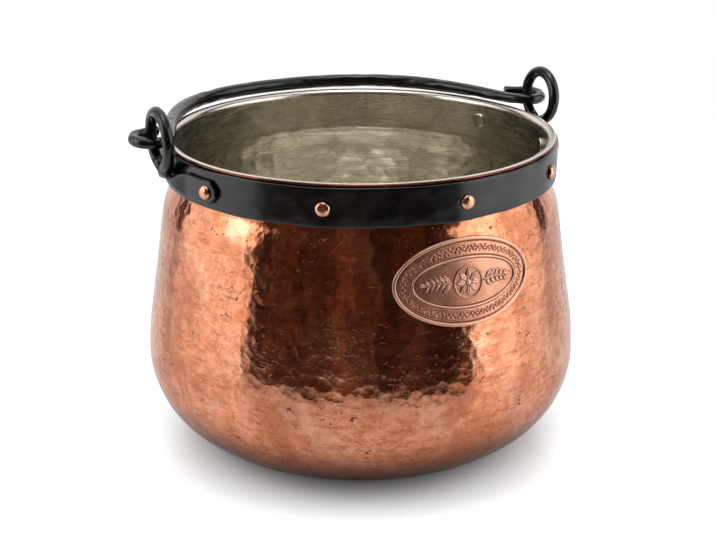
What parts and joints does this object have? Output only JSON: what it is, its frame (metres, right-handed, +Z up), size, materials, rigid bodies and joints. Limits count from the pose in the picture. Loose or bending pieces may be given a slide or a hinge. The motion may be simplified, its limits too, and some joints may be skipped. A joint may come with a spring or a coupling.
{
  "type": "copper cauldron",
  "caption": "Hammered copper cooking cauldron with a tinned inside, a riveted iron hoop with two ears, an oval plaque and a swinging iron bail.",
  "frame": {"origin": "centre of the base, on the floor", "axes": "+Z up, +X through the right ear along the bail's hinge axis, -Y towards the plaque; the bail is stored lying back on the rear rim, towards +Y"},
  "size_m": [0.2996, 0.284, 0.2308],
  "materials": {
    "hammered_copper": "hammered, half polished",
    "tin": "dull, hammer marks showing",
    "black_iron": "forged, blackened, satin",
    "rivet_copper": "domed, worn bright on top",
    "plaque_copper": "embossed, darkened in the hollows"
  },
  "bodies": {
    "pot": {"pot_body": "hammered_copper", "tin_lining": "tin", "rim_band": "black_iron", "left_ear": "black_iron", "right_ear": "black_iron", "left_ear_rivets": "rivet_copper", "right_ear_rivets": "rivet_copper", "front_band_rivets": "rivet_copper", "back_band_rivets": "rivet_copper", "oval_plaque": "plaque_copper"},
    "bail": {"bail_handle": "black_iron"}
  },
  "joints": [
    {"name": "bail_swing", "type": "hinge", "parent": "pot", "child": "bail", "pos_m": [0, 0, 0.2068], "axis": [1, 0, 0], "range_deg": [0, 180]}
  ]
}
